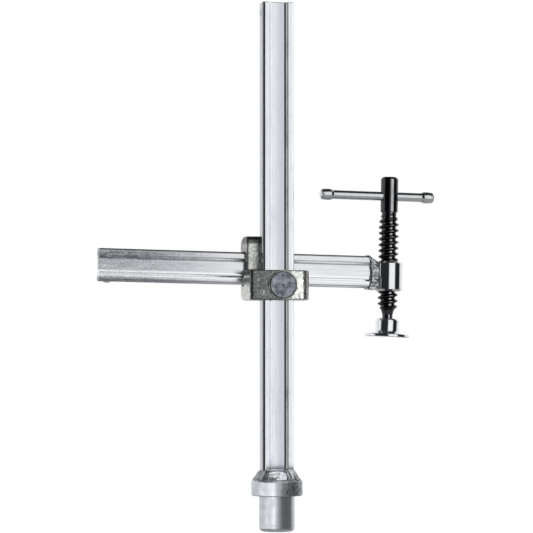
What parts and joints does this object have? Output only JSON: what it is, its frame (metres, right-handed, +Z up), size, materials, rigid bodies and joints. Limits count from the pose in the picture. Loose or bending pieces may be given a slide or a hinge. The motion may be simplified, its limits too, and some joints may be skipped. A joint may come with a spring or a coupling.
{
  "type": "adjustable table clamp",
  "caption": "Table clamp on a plug-in round peg: flat-rail mast, cast double-loop slider, sliding flat-rail arm and a vertical clamp screw with tommy bar and swivel plate.",
  "frame": {"origin": "centre of the collar's underside, where it rests on the table; the peg hangs below it", "axes": "+Z up the mast, +X along the arm towards the clamp screw, +Y from the mast to the arm behind it"},
  "size_m": [0.2756, 0.0574, 0.419],
  "materials": {
    "zinc_rail": "bright zinc plated drawn steel",
    "zinc_turned": "zinc plated turned steel",
    "zinc_weld": "zinc plated weld bead",
    "zinc_casting": "zinc plated casting",
    "hardened_stud": "grey-blue hardened steel",
    "bright_zinc": "mirror-bright zinc plated turned steel",
    "black_oxide": "oiled black oxide",
    "satin_steel": "satin zinc plated bar",
    "spring_steel": "plain spring wire"
  },
  "bodies": {
    "mast": {"mast_rail": "zinc_rail", "base_peg": "zinc_turned", "base_weld": "zinc_weld", "mast_stop_rivet": "zinc_turned"},
    "slider": {"slider_casting": "zinc_casting", "slider_grip_stud": "hardened_stud"},
    "arm": {"arm_rail": "zinc_rail", "arm_stop_rivet": "zinc_turned", "nut_sleeve": "bright_zinc", "sleeve_weld": "zinc_weld"},
    "ring": {"ball_snap_ring": "spring_steel"},
    "screw": {"clamp_screw": "black_oxide"},
    "handle": {"tommy_bar": "satin_steel", "tommy_cap_left": "satin_steel", "tommy_cap_right": "satin_steel"},
    "plate": {"pressure_plate": "bright_zinc"}
  },
  "joints": [
    {"name": "slider_height", "type": "slide", "parent": "mast", "child": "slider", "axis": [0, 0, 1], "range_m": [-0.133, 0.201]},
    {"name": "arm_reach", "type": "slide", "parent": "slider", "child": "arm", "axis": [0.9998, 0, -0.0192], "range_m": [-0.051, 0.105]},
    {"name": "screw_feed", "type": "slide", "parent": "arm", "child": "ring", "axis": [0.0192, 0, 0.9998], "range_m": [-0.0285, 0.019]},
    {"name": "screw_turn", "type": "hinge", "parent": "ring", "child": "screw", "pos_m": [0.09693, 0.019, 0.17454], "axis": [0.0192, 0, 0.9998], "range_deg": [-2160, 1440]},
    {"name": "handle_slide", "type": "slide", "parent": "screw", "child": "handle", "axis": [0.9998, 0, -0.0192], "range_m": [-0.0195, 0.0401]},
    {"name": "plate_tilt", "type": "hinge", "parent": "ring", "child": "plate", "pos_m": [0.09616, 0.019, 0.13445], "axis": [0, 1, 0], "range_deg": [-9.7, 6.3]}
  ],
  "couplings": [
    {"joint": "screw_feed", "follows": "screw_turn", "m_per_rad": 0.00075599}
  ]
}
